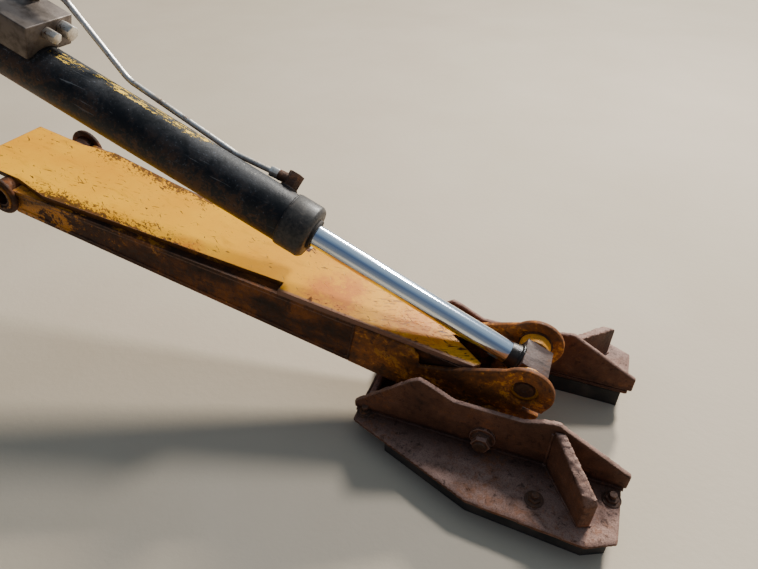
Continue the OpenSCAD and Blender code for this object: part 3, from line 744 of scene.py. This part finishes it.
hexLook = {"sides": 6, "lip": 0.12, "lipHigh": 0.07, "ease": 0.035}  # shares of the radius
stubLook = {"sides": 24, "ease": 0.0012, "sunk": 0.001}
boltLook = {
    "washer": 0.0185, "washerHigh": 0.003, "head": 0.0135, "headHigh": 0.010, "stub": 0.0075,
    "stubHigh": 0.007, "onPlate": -0.0313, "firstTurn": 0.4, "nextTurn": 1.3, "rough": 0.0006, "grain": 0.006,
    # millimetres from the pad's pivot
    "places": [(-262, 144), (-262, -144), (124, 226), (124, -226), (264, 172), (264, -172)],
}
shaftLook = {
    "washer": 0.027, "washerHigh": 0.006, "head": 0.022, "headHigh": 0.019, "stub": 0.0135, "stubHigh": 0.008,
    "out": 0.140, "turn": 0.35, "rough": 0.0009, "grain": 0.008,
}


def disc(radius, high, place, sides=40, ease=0.0008):
    bpy.ops.mesh.primitive_cylinder_add(vertices=sides, radius=radius, depth=high, location=place)
    made = bpy.context.object
    easeEdges(made, ease)
    return made


def hexHead(radius, high, place):  # corners taken off above by a shallow cone
    clearSelection()
    bpy.ops.mesh.primitive_cylinder_add(vertices=hexLook["sides"], radius=radius, depth=high,
                                        location=(0, 0, high / 2))
    made = bpy.context.object
    bpy.ops.object.mode_set(mode="EDIT")
    choose(made, "faces", topFace)
    bpy.ops.mesh.inset(thickness=radius * hexLook["lip"], depth=radius * hexLook["lipHigh"])
    bpy.ops.mesh.subdivide(number_cuts=1)
    choose(made, "faces", sideFace)
    bpy.ops.mesh.subdivide(number_cuts=2, smoothness=0.0)
    bpy.ops.object.mode_set(mode="OBJECT")
    easeEdges(made, radius * hexLook["ease"], 1)
    made.location = place
    return made


def boltUp(look):
    clearSelection()
    top = look["washerHigh"] + look["headHigh"] + look["stubHigh"] / 2 - stubLook["sunk"]
    washer = disc(look["washer"], look["washerHigh"], (0, 0, look["washerHigh"] / 2))
    head = hexHead(look["head"], look["headHigh"], (0, 0, look["washerHigh"]))
    stub = disc(look["stub"], look["stubHigh"], (0, 0, top), stubLook["sides"], stubLook["ease"])
    return joined([washer, head, stub])


bolt = boltUp(boltLook)
for index, (x, y) in enumerate(boltLook["places"]):
    spin = Matrix.Rotation(boltLook["firstTurn"] + boltLook["nextTurn"] * index, 4, "Z")
    piece = copyOf(bolt, Matrix.Translation(onPad(x / 1000, y / 1000, boltLook["onPlate"])) @ spin)
    roughen(piece, boltLook["rough"], boltLook["grain"])
    dressUp(piece, "padBolt%d" % index, pinRust, "pad")
drop(bolt)

nut = boltUp(shaftLook)
for side, tip in (("Rear", 1), ("Front", -1)):
    turnOut = Matrix.Rotation(-tip * math.pi / 2, 4, "X") @ Matrix.Rotation(shaftLook["turn"], 4, "Z")
    piece = copyOf(nut, Matrix.Translation(onPad(0, tip * shaftLook["out"], 0)) @ turnOut)
    roughen(piece, shaftLook["rough"], shaftLook["grain"])
    dressUp(piece, "padNut" + side, pinRust, "pad")
drop(nut)
print("bolts made")


# Weld beads

beadLook = {"sides": 8, "step": 0.0045, "ringStep": 0.004, "rough": 0.0034, "size": 0.0045, "smooth": 1.2}
armSeams = [  # start, end, radius, on the far side
    ((0.045, 0.1280, -0.0266), (0.866, 0.0780, -0.1114), 0.0036),
    ((0.8722, 0.0798, -0.118), (0.8722, 0.0798, -0.010), 0.0034),
]
padSeams = [
    ((-0.284, 0.1405, -0.031), (0.284, 0.1405, -0.031), 0.0042),
    ((0.132, 0.142, -0.031), (0.209, 0.254, -0.031), 0.0035),
    ((0.156, 0.142, -0.031), (0.230, 0.245, -0.031), 0.0035),
    ((0.131, 0.1405, -0.028), (0.131, 0.1405, 0.070), 0.003),
]
# place, the ring's radius and the bead's own
armRings = {"root": (0.1425, 0.0315, 0.003), "boss": (0.069, 0.0345, 0.0035)}
rodRings = {"neck": (0.0325, 0.030, 0.0042), "gland": (0.6025, 0.0562, 0.003), "cap": (1.515, 0.0562, 0.0035)}
across = Vector((0, 1, 0))


def bead(start, end, radius):
    run = end - start
    clearSelection()
    bpy.ops.mesh.primitive_cylinder_add(vertices=beadLook["sides"], radius=radius, depth=run.length)
    made = bpy.context.object
    bpy.ops.object.mode_set(mode="EDIT")
    choose(made, "edges", lambda e: abs((e.verts[0].co - e.verts[1].co).z) > radius)
    bpy.ops.mesh.subdivide(number_cuts=max(2, int(run.length / beadLook["step"])))
    bpy.ops.object.mode_set(mode="OBJECT")
    layAlong(made, run, (start + end) / 2)
    settle(made)
    return made


def ringBead(place, axis, major, minor):
    clearSelection()
    bpy.ops.mesh.primitive_torus_add(major_radius=major, minor_radius=minor, minor_segments=beadLook["sides"],
                                     major_segments=int(math.tau * major / beadLook["ringStep"]))
    made = bpy.context.object
    layAlong(made, axis, place)
    settle(made)
    return made


def sideBeads(seams, onBody, tip):
    return [bead(onBody(a[0], tip * a[1], a[2]), onBody(b[0], tip * b[1], b[2]), radius)
            for a, b, radius in seams]


def armRing(name, middle, tip):
    out, major, minor = armRings[name]
    return ringBead(middle + across * tip * out, across, major, minor)


def rodRing(name):
    along, major, minor = rodRings[name]
    return ringBead(rodPin + rodLine * along, rodLine, major, minor)


def weldUp(name, beads, material, body):
    piece = joined(beads)
    roughen(piece, beadLook["rough"], beadLook["size"])
    return dressUp(piece, name, material, body, beadLook["smooth"])


armBeads = []
padBeads = []
for tip in (1, -1):
    armBeads += sideBeads(armSeams, onArm, tip)
    armBeads += [armRing("root", Vector((0, 0, 0)), tip), armRing("boss", rodPin, tip)]
    padBeads += sideBeads(padSeams, onPad, tip)
weldUp("armWelds", armBeads, webPaint, "arm")
weldUp("padWelds", padBeads, padRust, "pad")
weldUp("rodWeld", [rodRing("neck")], steels["oilySteel"], "rod")
weldUp("barrelWelds", [rodRing("gland"), rodRing("cap")], barrelPaint, "barrel")
print("welds made")


# Pin ends, the rod's wiper, and the valve block's screws

pinEndLook = {"radius": 0.0195, "high": 0.003, "lip": 0.0015, "lipHigh": 0.0012, "dimple": 0.0045,
              "slope": 0.0012, "deep": 0.002, "out": 0.0708, "sides": 48}
for side, tip in (("Rear", 1), ("Front", -1)):
    clearSelection()
    bpy.ops.mesh.primitive_cylinder_add(vertices=pinEndLook["sides"], radius=pinEndLook["radius"],
                                        depth=pinEndLook["high"])
    piece = bpy.context.object
    bpy.ops.object.mode_set(mode="EDIT")
    choose(piece, "faces", topFace)
    bpy.ops.mesh.inset(thickness=pinEndLook["lip"], depth=pinEndLook["lipHigh"])
    bpy.ops.mesh.inset(thickness=pinEndLook["radius"] - pinEndLook["lip"] - pinEndLook["dimple"], depth=0)
    bpy.ops.mesh.inset(thickness=pinEndLook["slope"], depth=-pinEndLook["deep"])
    bpy.ops.object.mode_set(mode="OBJECT")
    out = across * tip * (pinEndLook["out"] + pinEndLook["high"] / 2)
    piece.matrix_world = Matrix.Translation(rodPin + out) @ Matrix.Rotation(-tip * math.pi / 2, 4, "X")
    dressUp(piece, "pinEnd" + side, pinRust, "arm")

wiperLook = {"inside": 0.0254, "outside": 0.0345, "start": 0.5335, "deep": 0.0075, "ease": 0.0014,
             "sides": 64}
clearSelection()
bpy.ops.mesh.primitive_cylinder_add(vertices=wiperLook["sides"], radius=wiperLook["outside"],
                                    depth=wiperLook["deep"], end_fill_type="NOTHING")
wiper = bpy.context.object
bpy.ops.object.mode_set(mode="EDIT")
bpy.ops.mesh.select_all(action="SELECT")
bpy.ops.mesh.extrude_region_move()
ratio = wiperLook["inside"] / wiperLook["outside"]
bpy.ops.transform.resize(value=(ratio, ratio, 1), center_override=(0, 0, 0))
bpy.ops.object.mode_set(mode="OBJECT")
easeEdges(wiper, wiperLook["ease"])
layAlong(wiper, rodLine, rodPin + rodLine * (wiperLook["start"] + wiperLook["deep"] / 2))
dressUp(wiper, "wiperRing", rubber, "barrel")

screwLook = {
    "radius": 0.0085, "high": 0.008, "lip": 0.001, "lipHigh": 0.0008, "hole": 0.0045, "slope": 0.0001,
    "deep": 0.004, "aboveRod": 0.1155, "sides": 36,
    # millimetres along the rod and to its side
    "places": [(1302, -34), (1302, 56), (1376, -34), (1376, 56)],
}
clearSelection()
bpy.ops.mesh.primitive_cylinder_add(vertices=screwLook["sides"], radius=screwLook["radius"],
                                    depth=screwLook["high"])
screw = bpy.context.object
bpy.ops.object.mode_set(mode="EDIT")
choose(screw, "faces", topFace)
bpy.ops.mesh.inset(thickness=screwLook["lip"], depth=screwLook["lipHigh"])
bpy.ops.mesh.inset(thickness=screwLook["radius"] - screwLook["lip"] - screwLook["hole"], depth=0)
bpy.ops.mesh.inset(thickness=screwLook["slope"], depth=-screwLook["deep"])
bpy.ops.object.mode_set(mode="OBJECT")
rodFrame = Matrix.Translation(rodPin) @ Matrix((rodLine, (0, -1, 0), rodUp)).transposed().to_4x4()
screws = [copyOf(screw, rodFrame @ Matrix.Translation((x / 1000, -y / 1000, screwLook["aboveRod"])))
          for x, y in screwLook["places"]]
dressUp(joined(screws), "blockScrews", steels["oilySteel"], "barrel")
drop(screw)
print("small pieces made")


# Floor and light

floorLook = {"dark": (0.52, 0.425, 0.305), "light": (0.575, 0.48, 0.355), "rough": 0.85, "bump": 0.0006,
             "size": 40, "middle": (0.6, 0)}


def paleFloor(name, look):
    material, tree, shader, coords = begin(name)
    tone = noise(tree, coords, 1.3, 5, 0.6)
    grain = noise(tree, coords, 60, 4, 0.6)
    colour = blend(tree, fit(tree, tone, 0.3, 0.7), look["dark"], look["light"])
    tree.links.new(colour, shader.inputs["Base Color"])
    shader.inputs["Roughness"].default_value = look["rough"]
    bump = add(tree, "Bump", {"Height": grain, "Distance": look["bump"]})
    tree.links.new(bump.outputs["Normal"], shader.inputs["Normal"])
    return material


clearSelection()
bpy.ops.mesh.primitive_plane_add(size=floorLook["size"], location=(*floorLook["middle"], floorHeight))
floor = bpy.context.object
floor.name = "floor"
floor.data.materials.append(paleFloor("paleFloor", floorLook))

lampAim = Vector((1.0, 0, -0.2))
lamps = {
    "key": {"way": (0.25, 1.7, 1.0), "far": 25.0, "size": 3.25, "power": 10600, "tint": (1, 0.95, 0.86)},
    "top": {"way": (0.45, 0.85, 1.0), "far": 4.0, "size": 0.6, "power": 135, "tint": (0.96, 0.97, 1.0)},
}
for name, look in lamps.items():
    lampData = bpy.data.lights.new(name, "AREA")
    lampData.shape = "DISK"
    lampData.size = look["size"]
    lampData.energy = look["power"]
    lampData.color = look["tint"]
    lamp = bpy.data.objects.new(name, lampData)
    lamp.location = lampAim + Vector(look["way"]).normalized() * look["far"]
    lamp.rotation_euler = (lampAim - lamp.location).to_track_quat("-Z", "Y").to_euler()
    bpy.context.scene.collection.objects.link(lamp)

skyLook = {
    "power": 0.24, "bright": (0.25, 0.60, 0.75), "brightFit": (0.2, 0.95), "glow": 2.4,
    "glowTint": (0.70, 0.86, 1.0),
    "tones": [(0.0, (0.9, 0.87, 0.83)), (0.50, (1.15, 1.13, 1.10)), (0.60, (0.85, 0.90, 1.0)),
              (0.9, (0.24, 0.42, 0.78))],  # from straight down to nearly straight up
}
world = bpy.data.worlds.new("studioSky")
bpy.context.scene.world = world
world.use_nodes = True
sky = world.node_tree
way = add(sky, "TexCoord").outputs["Generated"]
tones = shades(sky, fit(sky, parts(sky, way)[2], -1, 1), skyLook["tones"])
toward = add(sky, "VectorMath", {0: way, 1: tuple(Vector(skyLook["bright"]).normalized())},
             operation="DOT_PRODUCT").outputs["Value"]
glow = tuple(c * skyLook["glow"] for c in skyLook["glowTint"])
tones = blend(sky, fit(sky, toward, *skyLook["brightFit"]), tones, glow)
background = sky.nodes["Background"]
sky.links.new(tones, background.inputs["Color"])
background.inputs["Strength"].default_value = skyLook["power"]
print("floor and light set")
